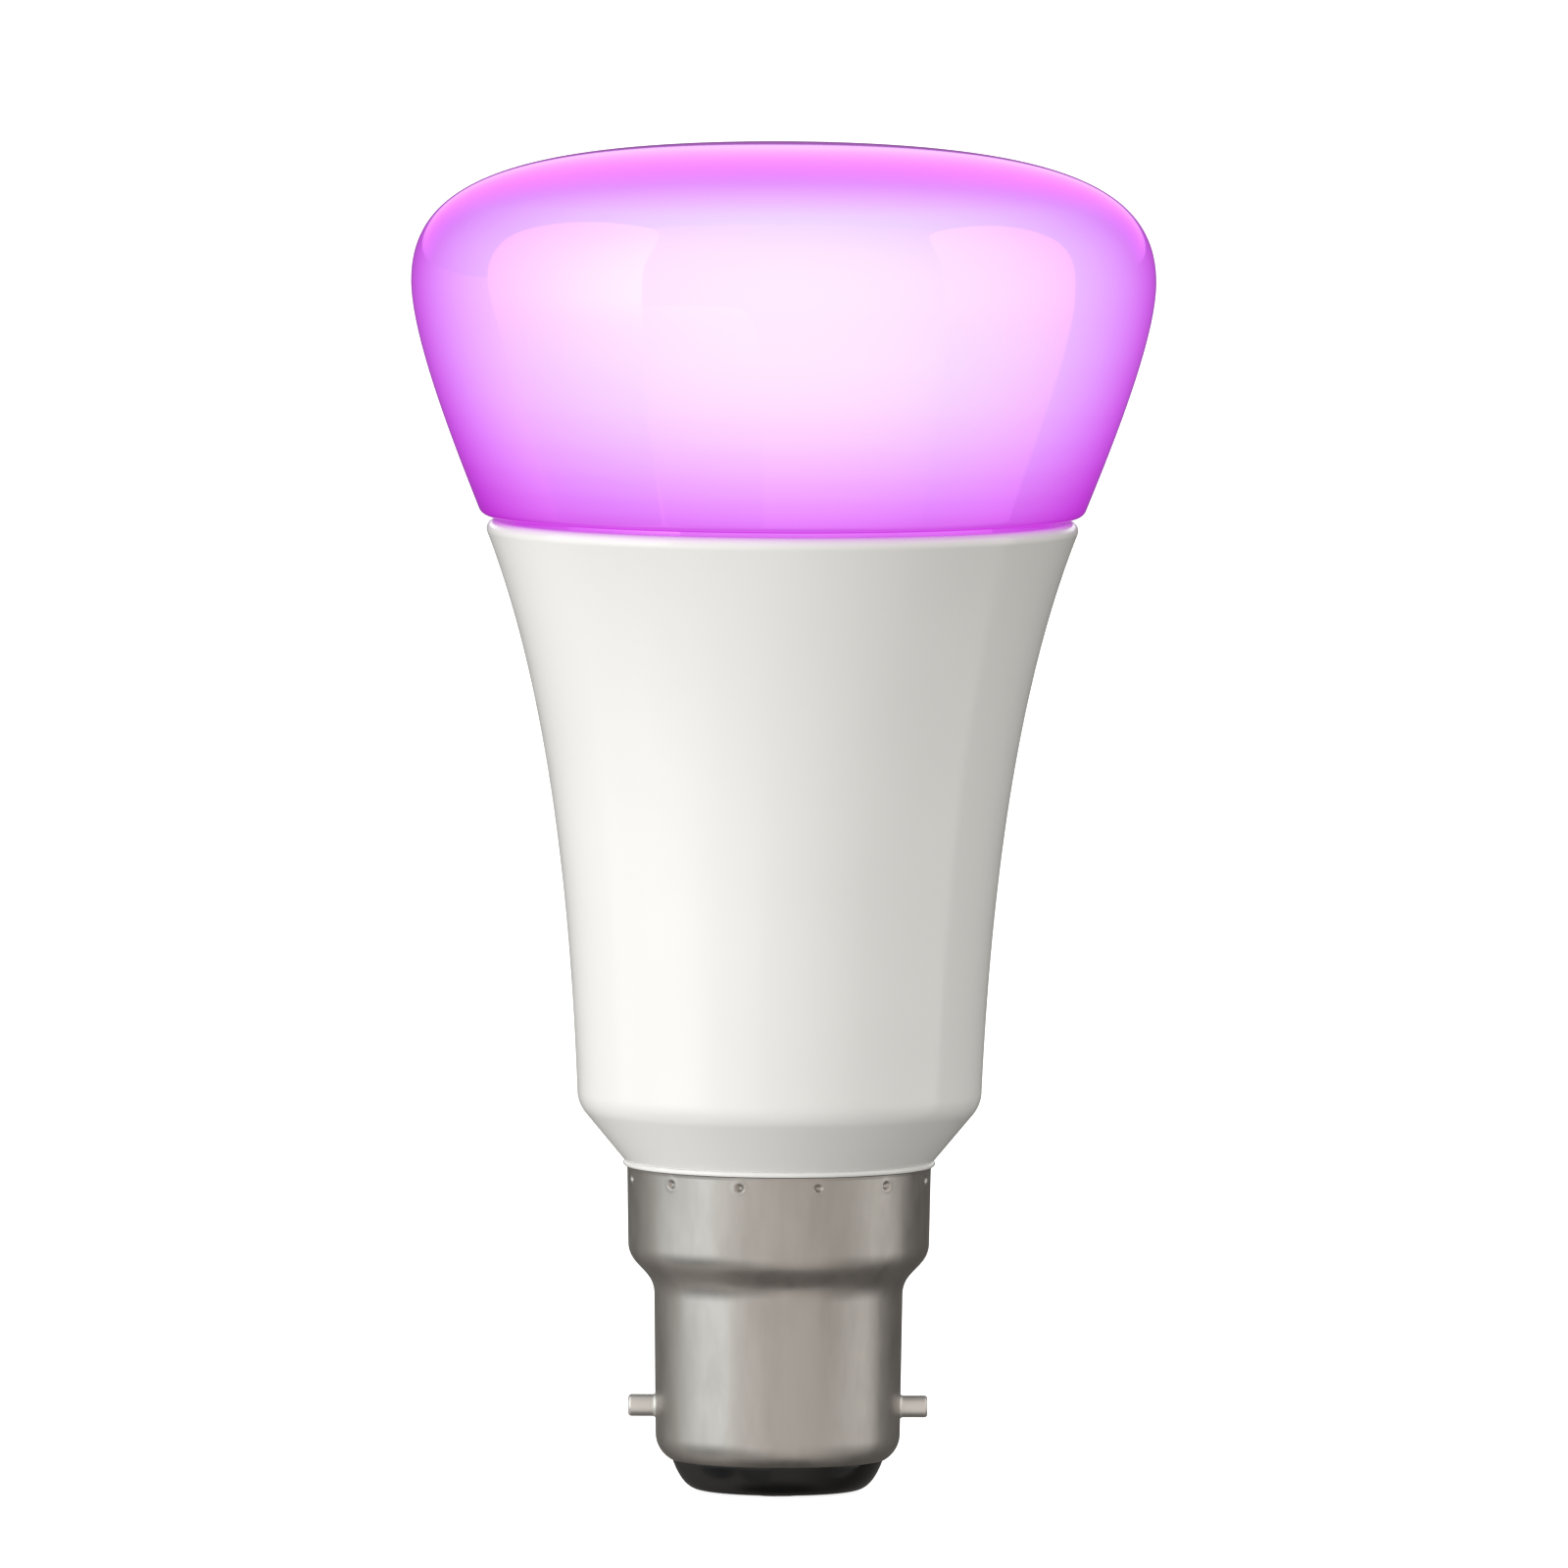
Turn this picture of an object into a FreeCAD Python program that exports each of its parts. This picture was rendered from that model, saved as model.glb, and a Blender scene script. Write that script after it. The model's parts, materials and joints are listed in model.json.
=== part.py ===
import FreeCAD, Part
import math
import os

# Smart LED lamp: a wide diffuser globe on a flared plastic housing with a two-pin bayonet cap.
# Sizes are in mm. The origin is on the axis in the plane of the two contacts, +Z points to the globe,
# the bayonet pins are on X and the contacts on Y.

# diffuser globe
GLOBE_R = 33.3
GLOBE_TOP = 120.75
GLOBE_EQUATOR = 108.45
GLOBE_FOOT_R = 26.9
GLOBE_FOOT = 87.45
GLOBE_WALL = 1.5
SPIGOT_R = 24.0
SPIGOT_WALL = 1.2
SPIGOT_LOW = 82.9

# housing: its outer curve runs from the rim to the shoulder through two handles
RIM = (26.85, 87.05)
FLARE_HANDLES = ((21.27, 73.5), (18.82, 54.7))
SHOULDER = (18.06, 34.75)
CONE_FOOT = (13.98, 29.85)
HOUSING_WALL = 1.9
LEDGE = 82.6
SHELF = 45.9
NECK_R = 12.9
NECK_BORE_R = 11.2
NECK_LOW = 23.2

# bayonet cap, in 0.4 sheet
SHEET = 0.4
SKIRT_TOP = 29.15
SKIRT_R = 13.48
BARREL_R = 11.12
BARREL_LOW_R = 10.95
CRIMPS = 12
CRIMP_R = 0.42
CRIMP_AT = (13.72, 28.22)
PIN_R = 1.0
PIN_SHANK_R = 0.8
PIN_SHOULDER = 11.02
PIN_REACH = 13.4
PIN_Z = 7.6
CONTACT_Y = 4.0
CONTACT_R = 2.2
CONTACT_SHANK_R = 1.3
INSULATOR_FLAT = 0.15
BOSS_TOP = 5.4

# stack under the globe
SPREADER_TOP = 82.2
SPREADER_PLATE = 1.6
SPREADER_SKIRT = 1.2
PAD_TOP = 82.5
PAD_R = 20.5
BOARD_TOP = 84.1
BOARD_R = 21.8
SCREW_RING = 18.5
SCREW_ANGLES = (90, 210, 330)
LED_RINGS = ((15.5, 12, 15), (9.5, 6, 0))
LED_WIDE = 3.0
LED_TALL = 0.8
REFLECTOR_R = 22.5

# driver
SLEEVE_R = 15.2
SLEEVE_TUBE_R = 10.4
SLEEVE_WALL = 1.0
SLEEVE_LOW = 16.0
DRIVER_FRONT = -3.0
DRIVER_BACK = -1.4

# radio board, standing through slots in the stack
RADIO_WIDE = 12.5
RADIO_Y = (1.0, 2.0)
RADIO_Z = (64.0, 98.0)


def turned(start, *steps):
    """Solid of revolution from a closed (r, z) profile.

    A step of one point is a line to it, of two an arc through the first, of three a curve with two handles.
    """
    edges = []
    here = start
    for step in steps + ([start],):
        points = [FreeCAD.Vector(r, 0, z) for r, z in (here, *step)]
        if len(points) == 2:
            edges.append(Part.makeLine(*points))
        elif len(points) == 3:
            edges.append(Part.Arc(*points).toShape())
        else:
            curve = Part.BezierCurve()
            curve.setPoles(points)
            edges.append(curve.toShape())
        here = step[-1]
    face = Part.Face(Part.Wire(edges))
    return face.revolve(FreeCAD.Vector(), FreeCAD.Vector(0, 0, 1), 360)


def rod(radius, low, high, x=0, y=0):
    return Part.makeCylinder(radius, high - low, FreeCAD.Vector(x, y, low))


def ring(outer, inner, low, high, x=0, y=0):
    return rod(outer, low, high, x, y).cut(rod(inner, low - 1, high + 1, x, y))


def block(x0, x1, y0, y1, z0, z1):
    return Part.makeBox(x1 - x0, y1 - y0, z1 - z0, FreeCAD.Vector(x0, y0, z0))


def soft_block(x0, x1, y0, y1, z0, z1, radius):
    shape = block(x0, x1, y0, y1, z0, z1)
    return shape.makeFillet(radius, shape.Edges)


def rounded(shape, radius, *rings):
    """Fillet the circular edges that have the given (r, z)."""
    picked = []
    for edge in shape.Edges:
        if edge.Degenerated or not isinstance(edge.Curve, Part.Circle):
            continue
        for r, z in rings:
            if abs(edge.Curve.Radius - r) < 0.02 and abs(edge.Curve.Center.z - z) < 0.02:
                picked.append(edge)
    return shape.makeFillet(radius, picked)


def spun(shape, angle):
    copy = shape.copy()
    copy.rotate(FreeCAD.Vector(), FreeCAD.Vector(0, 0, 1), angle)
    return copy


def around(shape, count, first=0):
    return [spun(shape, first + 360 * i / count) for i in range(count)]


def wire_along(points, radius):
    """Round wire: a straight run from the first point to the second, then a curve by the rest."""
    points = [FreeCAD.Vector(*p) for p in points]
    curve = Part.BezierCurve()
    curve.setPoles(points[1:])
    path = Part.Wire([Part.makeLine(points[0], points[1]), curve.toShape()])
    section = Part.Wire([Part.makeCircle(radius, points[0], points[1] - points[0])])
    return path.makePipeShell([section], True, False)


def flare_plug(inset, low, high):
    """What is inside the housing's flared surface, moved in by inset, between two heights."""
    poles = [(r - inset, z) for r, z in (RIM, *FLARE_HANDLES, SHOULDER)]
    plug = turned((0, RIM[1]), [poles[0]], poles[1:], [(0, SHOULDER[1])])
    return plug.common(rod(40, low, high))


# ---- globe and housing


def diffuser_globe():
    wall = GLOBE_WALL
    shape = turned(
        (0, GLOBE_TOP),
        [(24.3, GLOBE_TOP), (GLOBE_R, GLOBE_EQUATOR + 8.75), (GLOBE_R, GLOBE_EQUATOR)],
        [(GLOBE_R, GLOBE_EQUATOR - 4.7), (GLOBE_FOOT_R + 3.0, 94.85), (GLOBE_FOOT_R, GLOBE_FOOT)],
        [(SPIGOT_R, GLOBE_FOOT)],
        [(SPIGOT_R, 85.3)],
        [(SPIGOT_R + 0.2, 85.0), (SPIGOT_R, 84.7)],
        [(SPIGOT_R, SPIGOT_LOW)],
        [(SPIGOT_R - SPIGOT_WALL, SPIGOT_LOW)],
        [(SPIGOT_R - SPIGOT_WALL, GLOBE_FOOT)],
        [(25.5, 89.2)],
        [(GLOBE_FOOT_R + 1.6, 95.85), (GLOBE_R - wall, 104.1), (GLOBE_R - wall, GLOBE_EQUATOR)],
        [(GLOBE_R - wall, GLOBE_EQUATOR + 8.0), (23.5, GLOBE_TOP - wall), (0, GLOBE_TOP - wall)],
    )
    return rounded(shape, 1.0, (GLOBE_FOOT_R, GLOBE_FOOT))


def globe_seal():
    return rounded(ring(SPIGOT_R, SPIGOT_R - 0.6, LEDGE, SPIGOT_LOW), 0.1, (SPIGOT_R - 0.6, SPIGOT_LOW))


def crimp_balls(radius):
    ball = Part.makeSphere(radius, FreeCAD.Vector(CRIMP_AT[0], 0, CRIMP_AT[1]))
    return around(ball, CRIMPS, 15)


def housing_shell():
    shape = turned(
        (0, RIM[1]),
        [RIM],
        [*FLARE_HANDLES, SHOULDER],
        [CONE_FOOT],
        [(13.74, 29.68)],
        [(13.98, 29.44), (13.74, 29.2)],
        [(NECK_R, 29.2)],
        [(NECK_R, NECK_LOW)],
        [(0, NECK_LOW)],
    )
    shape = rounded(shape, 0.8, RIM)
    shape = rounded(shape, 3.2, SHOULDER)
    recess = turned(
        (0, RIM[1] + 1),
        [(SPIGOT_R + 0.1, RIM[1] + 1)],
        [(SPIGOT_R + 0.1, 85.35)],
        [(SPIGOT_R + 0.3, 85.0), (SPIGOT_R + 0.1, 84.65)],
        [(SPIGOT_R + 0.1, LEDGE)],
        [(0, LEDGE)],
    )
    cone = turned((0, 37.5), [(15.9, 37.5)], [(15.9, 35.6)], [(NECK_BORE_R, 30.4)], [(NECK_BORE_R, 20)], [(0, 20)])
    hollow = [recess, flare_plug(HOUSING_WALL, SHELF, LEDGE), rod(SLEEVE_R + 0.1, 37, SHELF)]
    hollow += [flare_plug(HOUSING_WALL, 37.5, SHELF - 1.5), cone]
    return shape.cut(hollow[0].multiFuse(hollow[1:])).cut(Part.makeCompound(crimp_balls(CRIMP_R + SHEET)))


# ---- bayonet cap


def cap_shell():
    shape = turned(
        (13.68, SKIRT_TOP),
        [(SKIRT_R + 0.08, 26.5)],
        [(SKIRT_R, 22.3)],
        [(SKIRT_R, 20.1), (BARREL_R, 19.95), (BARREL_R, 17.6)],
        [(BARREL_LOW_R, 5.2)],
        [(10.64, 3.9), (9.7, 2.9)],
        [(9.53, 3.27)],
        [(10.28, 4.18), (BARREL_LOW_R - SHEET, 5.2)],
        [(BARREL_R - SHEET, 17.75)],
        [(BARREL_R - SHEET, 20.15), (SKIRT_R - SHEET, 20.3), (SKIRT_R - SHEET, 22.45)],
        [(SKIRT_R - SHEET + 0.08, 26.5)],
        [(13.68 - SHEET, SKIRT_TOP)],
    )
    inside = turned((0, 29), [(13.3, 29)], [(13.1, 26.5)], [(13.1, 24)], [(0, 24)])
    bumps = Part.makeCompound(crimp_balls(CRIMP_R + SHEET - 0.04)).common(inside)
    shape = shape.multiFuse(bumps.Solids).cut(Part.makeCompound(crimp_balls(CRIMP_R)))
    holes = Part.makeCylinder(PIN_SHANK_R, 30, FreeCAD.Vector(-15, 0, PIN_Z), FreeCAD.Vector(1, 0, 0))
    return shape.cut(holes)


def bayonet_pin():
    """The pin on +X: a body with a rounded tip, a thinner shank through the barrel, a head clenched inside."""
    shape = turned(
        (0, PIN_REACH),
        [(PIN_R - 0.3, PIN_REACH)],
        [(PIN_R - 0.088, PIN_REACH - 0.088), (PIN_R, PIN_REACH - 0.3)],
        [(PIN_R, PIN_SHOULDER)],
        [(PIN_SHANK_R, PIN_SHOULDER)],
        [(PIN_SHANK_R, 10.46)],
        [(PIN_R + 0.3, 10.3)],
        [(PIN_R + 0.3, 10.1)],
        [(0, 10.1)],
    )
    shape.rotate(FreeCAD.Vector(), FreeCAD.Vector(0, 1, 0), 90)
    shape.translate(FreeCAD.Vector(0, 0, PIN_Z))
    return shape


def cap_insulator():
    shape = turned(
        (0, INSULATOR_FLAT),
        [(7.1, INSULATOR_FLAT)],
        [(8.3, 0.22), (9.0, 1.6), (9.43, 2.75)],
        [(9.43, 3.29)],
        [(10.17, 4.2), (10.46, 5.2)],
        [(10.46, 9.3)],
        [(8.9, 9.3)],
        [(8.9, 4.2)],
        [(0, 4.2)],
    )
    for side in (-1, 1):
        shape = shape.fuse(rod(2.6, 4.0, BOSS_TOP, 0, side * CONTACT_Y))
    for side in (-1, 1):
        shape = shape.cut(rod(CONTACT_SHANK_R, -1, BOSS_TOP + 1, 0, side * CONTACT_Y))
    recess = Part.makeCylinder(PIN_R + 0.35, 24, FreeCAD.Vector(-12, 0, PIN_Z), FreeCAD.Vector(1, 0, 0))
    return shape.cut(recess.cut(rod(10.0, 0, 20)))


def contact():
    """The contact on +Y: a flat-faced rivet with a blind bore for the wire."""
    shape = rod(CONTACT_R, 0, INSULATOR_FLAT).fuse(rod(CONTACT_SHANK_R, 0, 5.6))
    shape = rounded(shape.removeSplitter(), 0.08, (CONTACT_R, 0))
    shape = shape.cut(rod(0.55, 2.0, 6))
    shape.translate(FreeCAD.Vector(0, CONTACT_Y, 0))
    return shape


def contact_solder():
    fillet = turned((0.5, 5.6), [(1.2, 5.6)], [(0.75, 5.85), (0.5, 6.4)])
    joints = []
    for side in (-1, 1):
        joint = fillet.copy()
        joint.translate(FreeCAD.Vector(0, side * CONTACT_Y, 0))
        joints.append(joint)
    return Part.makeCompound(joints)


def lead_wire(side, face):
    """From a contact up to its pad on the driver board, on the face at y = face."""
    pad = 5.0 * side
    points = [(0, side * CONTACT_Y, 2.05), (0, side * CONTACT_Y, 9.0), (0, side * CONTACT_Y, 14.5)]
    points += [(pad, face, 13.5), (pad, face, 20.5)]
    return wire_along(points, 0.5)


# ---- stack under the globe


def slots(low, high, margin=0.0):
    """Through slots for the radio board and for the header from the driver."""
    wide = RADIO_WIDE / 2 + 0.4 + margin
    radio = block(-wide, wide, RADIO_Y[0] - 0.4 - margin, RADIO_Y[1] + 0.4 + margin, low, high)
    header = block(-5.6 - margin, 5.6 + margin, -4.9 - margin, -3.9 + margin, low, high)
    return [radio, header]


def screw_holes(radius, low, high):
    hole = rod(radius, low, high, SCREW_RING)
    return [spun(hole, angle) for angle in SCREW_ANGLES]


def heat_spreader():
    shape = flare_plug(HOUSING_WALL + 0.15, SHELF, SPREADER_TOP)
    shape = shape.cut(flare_plug(HOUSING_WALL + 0.15 + SPREADER_SKIRT, SHELF - 1, SPREADER_TOP - SPREADER_PLATE))
    cuts = slots(70, 90, 0.2) + screw_holes(1.0, 70, 90)
    return shape.cut(Part.makeCompound(cuts))


def thermal_pad():
    cuts = slots(80, 90, 0.3) + screw_holes(1.5, 80, 90)
    return rod(PAD_R, SPREADER_TOP, PAD_TOP).cut(Part.makeCompound(cuts))


def led_board():
    cuts = slots(80, 90) + screw_holes(1.0, 80, 90)
    notch = rod(0.8, 80, 90, BOARD_R)
    return rod(BOARD_R, PAD_TOP, BOARD_TOP).cut(Part.makeCompound(cuts + around(notch, 3, 30)))


def led_spots():
    """(ring, place, angle, radius) of every LED."""
    spots = []
    for number, (radius, count, first) in enumerate(LED_RINGS):
        for i in range(count):
            spots.append((number, i, first + 360 * i / count, radius))
    return spots


def led_packages():
    half = LED_WIDE / 2
    body = block(-half, half, -half, half, BOARD_TOP, BOARD_TOP + LED_TALL)
    body = body.cut(rod(1.15, BOARD_TOP + 0.3, BOARD_TOP + 2))
    body = body.fuse(block(-0.5, 0.5, -0.5, 0.5, BOARD_TOP + 0.3, BOARD_TOP + 0.45))
    bodies = []
    for _, _, angle, radius in led_spots():
        copy = body.copy()
        copy.translate(FreeCAD.Vector(radius, 0, 0))
        bodies.append(spun(copy, angle))
    return Part.makeCompound(bodies)


def led_lenses(colour):
    """Domes over the outer ring, which is all white, or over one colour of the inner ring."""
    top = BOARD_TOP + LED_TALL
    dome = turned((0, top + 0.55), [(0.85, top + 0.4), (1.15, top)], [(0, top)])
    domes = []
    for number, i, angle, radius in led_spots():
        kind = "white" if number == 0 else ("red", "green", "blue")[i % 3]
        if kind == colour:
            copy = dome.copy()
            copy.translate(FreeCAD.Vector(radius, 0, 0))
            domes.append(spun(copy, angle))
    return Part.makeCompound(domes)


def reflector_plate():
    low = BOARD_TOP + 0.05
    shape = rod(REFLECTOR_R, low, low + 0.7).fuse(ring(REFLECTOR_R, REFLECTOR_R - 0.7, low, 86.5))
    half = LED_WIDE / 2 + 0.15
    window = block(-half, half, -half, half, 80, 90)
    cuts = slots(80, 90, 0.1)[:1] + screw_holes(2.2, 80, 90) + [block(-6.8, 6.8, -5.9, -2.9, 80, 90)]
    for _, _, angle, radius in led_spots():
        copy = window.copy()
        copy.translate(FreeCAD.Vector(radius, 0, 0))
        cuts.append(spun(copy, angle))
    return shape.cut(Part.makeCompound(cuts))


def board_screws():
    head = turned((0, BOARD_TOP + 1.5), [(1.4, BOARD_TOP + 1.3), (2.0, BOARD_TOP + 0.5)], [(2.0, BOARD_TOP)], [(0, BOARD_TOP)])
    cross = block(-1.1, 1.1, -0.22, 0.22, BOARD_TOP + 0.8, 90).fuse(block(-0.22, 0.22, -1.1, 1.1, BOARD_TOP + 0.8, 90))
    screw = head.cut(cross).fuse(rod(1.0, 79.5, BOARD_TOP))
    screw.translate(FreeCAD.Vector(SCREW_RING, 0, 0))
    return Part.makeCompound([spun(screw, angle) for angle in SCREW_ANGLES])


# ---- radio


def radio_board():
    half = RADIO_WIDE / 2
    return block(-half, half, *RADIO_Y, *RADIO_Z)


def radio_shield_can():
    can = block(-5.5, 5.5, RADIO_Y[1], RADIO_Y[1] + 1.8, 66, 79)
    can = can.makeFillet(0.3, [e for e in can.Edges if abs(e.CenterOfMass.y - RADIO_Y[1]) > 0.1])
    return can.cut(block(-5.2, 5.2, RADIO_Y[1] - 0.1, RADIO_Y[1] + 1.5, 66.3, 78.7))


def radio_chips():
    y = RADIO_Y[1]
    return Part.makeCompound([block(-4.2, 0.2, y, y + 0.9, 68, 72.4), block(1.4, 4.4, y, y + 1.1, 73, 77.4)])


def radio_antenna():
    """Meandering trace on the part of the board that stands above the reflector."""
    y0 = RADIO_Y[1]
    y1 = y0 + 0.1
    strips = []
    for i in range(6):
        x = -5.0 + 2.0 * i
        strips.append(block(x - 0.25, x + 0.25, y0, y1, 90, 96))
        if i < 5:
            z = 96.0 if i % 2 == 0 else 90.5
            strips.append(block(x - 0.25, x + 2.25, y0, y1, z - 0.5, z))
    return strips[0].multiFuse(strips[1:]).removeSplitter()


def radio_shroud():
    low = BOARD_TOP + 0.75
    outer = block(-7.6, 7.6, -0.6, 3.6, low, 99.6)
    outer = outer.makeFillet(0.8, [e for e in outer.Edges if e.CenterOfMass.z > low + 0.1])
    return outer.cut(block(-6.9, 6.9, 0.1, 2.9, low - 1, 98.9))


def board_link_header():
    return block(-5.2, 5.2, DRIVER_BACK, RADIO_Y[0], 65.0, 67.4).cut(Part.makeCompound(link_pins(0.32)))


def link_pins(half):
    pins = []
    for i in range(4):
        x = -3.81 + 2.54 * i
        pins.append(block(x - half, x + half, DRIVER_BACK, RADIO_Y[0], 66.2 - half, 66.2 + half))
    return pins


def board_link_pins():
    return Part.makeCompound(link_pins(0.32))


# ---- driver


def driver_sleeve():
    inner = SLEEVE_R - SLEEVE_WALL
    tube = SLEEVE_TUBE_R - SLEEVE_WALL
    top = SPREADER_TOP - SPREADER_PLATE
    shape = turned(
        (SLEEVE_R, top),
        [(SLEEVE_R, 34.88)],
        [(SLEEVE_TUBE_R, 29.56)],
        [(SLEEVE_TUBE_R, SLEEVE_LOW)],
        [(tube, SLEEVE_LOW)],
        [(tube, 29.9)],
        [(inner, 35.2)],
        [(inner, top)],
    )
    rails = []
    for y0, y1 in ((DRIVER_FRONT - 0.75, DRIVER_FRONT - 0.05), (DRIVER_BACK + 0.05, DRIVER_BACK + 0.75)):
        for x0 in (-15, 12.7):
            rails.append(block(x0, x0 + 2.3, y0, y1, 38, 74))
    return shape.multiFuse(rails).common(rod(SLEEVE_R, 0, 100)).removeSplitter()


def driver_board():
    wide = block(-13.4, 13.4, DRIVER_FRONT, DRIVER_BACK, 37, 79.5)
    tongue = block(-8.3, 8.3, DRIVER_FRONT, DRIVER_BACK, 17.5, 38)
    return wide.fuse(tongue).removeSplitter()


def led_header():
    shape = block(-6, 6, -5.4, DRIVER_FRONT, 75, 79.4)
    return shape.cut(Part.makeCompound(header_pins()))


def header_pins():
    pins = []
    for i in range(5):
        x = -5.08 + 2.54 * i
        pins.append(block(x - 0.3, x + 0.3, -4.7, -4.1, 76, 86.6))
    return pins


def led_header_pins():
    return Part.makeCompound(header_pins())


def led_socket():
    shape = soft_block(-6.5, 6.5, -5.7, -3.1, BOARD_TOP, 87.4, 0.2)
    return shape.cut(Part.makeCompound(header_pins()))


def bulk_capacitor():
    x = -6.5
    y = 3.9
    can = turned(
        (0, 38.0),
        [(4.7, 38.0)],
        [(4.91, 38.09), (5.0, 38.3)],
        [(5.0, 39.6)],
        [(4.65, 39.95), (5.0, 40.3)],
        [(5.0, 57.7)],
        [(4.91, 57.91), (4.7, 58.0)],
        [(0, 58.0)],
    )
    can.translate(FreeCAD.Vector(x, y, 0))
    groove = block(x - 3, x + 3, y - 0.15, y + 0.15, 57.8, 59).fuse(block(x - 0.15, x + 0.15, y - 3, y + 3, 57.8, 59))
    return can.cut(groove)


def transformer_core():
    x = 5.5
    y = 4.1
    yokes = [block(x - 5, x + 5, y - 2.5, y + 2.5, low, low + 2) for low in (40, 51)]
    legs = [block(x + s * 4.2 - 0.8, x + s * 4.2 + 0.8, y - 2.5, y + 2.5, 42, 51) for s in (-1, 1)]
    return yokes[0].multiFuse(yokes[1:] + legs + [rod(1.6, 42, 51, x, y)]).removeSplitter()


def transformer_bobbin():
    x = 5.5
    y = 4.1
    tube = rod(2.1, 42.05, 50.95, x, y)
    flanges = [rod(3.3, 42.05, 42.8, x, y), rod(3.3, 50.2, 50.95, x, y)]
    feet = [block(x - 3, x + 3, DRIVER_BACK, y - 2.0, low, low + 0.75) for low in (42.05, 50.2)]
    return tube.multiFuse(flanges + feet).cut(rod(1.65, 40, 53, x, y)).removeSplitter()


def transformer_winding():
    return rounded(ring(3.15, 2.1, 42.85, 50.15, 5.5, 4.1), 0.25, (3.15, 42.85), (3.15, 50.15))


def inductor_core():
    x = 6.2
    y = -7.0
    return rod(1.8, 39, 48.2, x, y).multiFuse([rod(3.6, 39, 40.2, x, y), rod(3.6, 47, 48.2, x, y)]).removeSplitter()


def inductor_winding():
    return rounded(ring(3.2, 1.8, 40.25, 46.95, 6.2, -7.0), 0.3, (3.2, 40.25), (3.2, 46.95))


def film_capacitor():
    return soft_block(-10.5, 0.5, -8.4, DRIVER_FRONT - 0.2, 39, 49, 0.6)


def varistor():
    disc = Part.makeCylinder(3.6, 2.8, FreeCAD.Vector(-6, DRIVER_FRONT - 0.3, 57), FreeCAD.Vector(0, -1, 0))
    return disc.makeFillet(0.9, [e for e in disc.Edges if len(e.Vertexes) == 1])


def fuse_resistor():
    shape = turned((0, 21), [(1.3, 21)], [(1.53, 21.1), (1.6, 21.4)], [(1.6, 22.6)], [(1.3, 23.0)], [(1.3, 26.4)],
                   [(1.6, 26.8)], [(1.6, 28.0)], [(1.53, 28.3), (1.3, 28.4)], [(0, 28.4)])
    shape.translate(FreeCAD.Vector(0, DRIVER_FRONT - 1.75, 0))
    return shape


def bridge_rectifier():
    return chip(1.2, 52.5, 6.3, 4.9, 2.2)


def chip(x, z, wide, tall, deep):
    """Moulded package standing off the driver board's front, with legs along its two sides."""
    front = DRIVER_FRONT - 0.15
    body = block(x, x + wide, front - deep, front, z, z + tall)
    body = body.makeChamfer(0.15, [e for e in body.Edges if e.CenterOfMass.y < front - deep + 0.01])
    legs = []
    count = int(tall / 1.27)
    for i in range(count):
        leg_z = z + tall / 2 + (i - (count - 1) / 2) * 1.27
        legs.append(block(x - 0.8, x + wide + 0.8, DRIVER_FRONT - 0.3, DRIVER_FRONT, leg_z - 0.2, leg_z + 0.2))
    return body.multiFuse(legs).removeSplitter()


def controller_chips():
    return Part.makeCompound([chip(-2.5, 61.5, 4.0, 5.0, 1.4), chip(4.5, 66.5, 4.0, 5.0, 1.4)])


def output_capacitors():
    cans = []
    for x in (4.0, 9.6):
        can = turned((0, 54.6), [(2.3, 54.6)], [(2.5, 54.8)], [(2.5, 55.4)], [(2.3, 55.6), (2.5, 55.8)], [(2.5, 62.0)],
                     [(2.3, 62.2)], [(0, 62.2)])
        can.translate(FreeCAD.Vector(x, DRIVER_BACK + 2.7, 0))
        cans.append(can)
    return Part.makeCompound(cans)


def smd_parts():
    """Small resistors and capacitors in two rows on the driver board's front and one on its tongue."""
    parts = []
    for i in range(5):
        z = 60.0 + 2.6 * i
        parts.append(block(-11.4, -9.4, DRIVER_FRONT - 0.6, DRIVER_FRONT, z, z + 1.25))
        parts.append(block(10.2, 12.2, DRIVER_FRONT - 0.6, DRIVER_FRONT, z - 5, z - 3.75))
    for i in range(3):
        x = -4.6 + 3.6 * i
        parts.append(block(x, x + 2, DRIVER_FRONT - 0.7, DRIVER_FRONT, 32.5, 33.75))
    return Part.makeCompound(parts)


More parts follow.
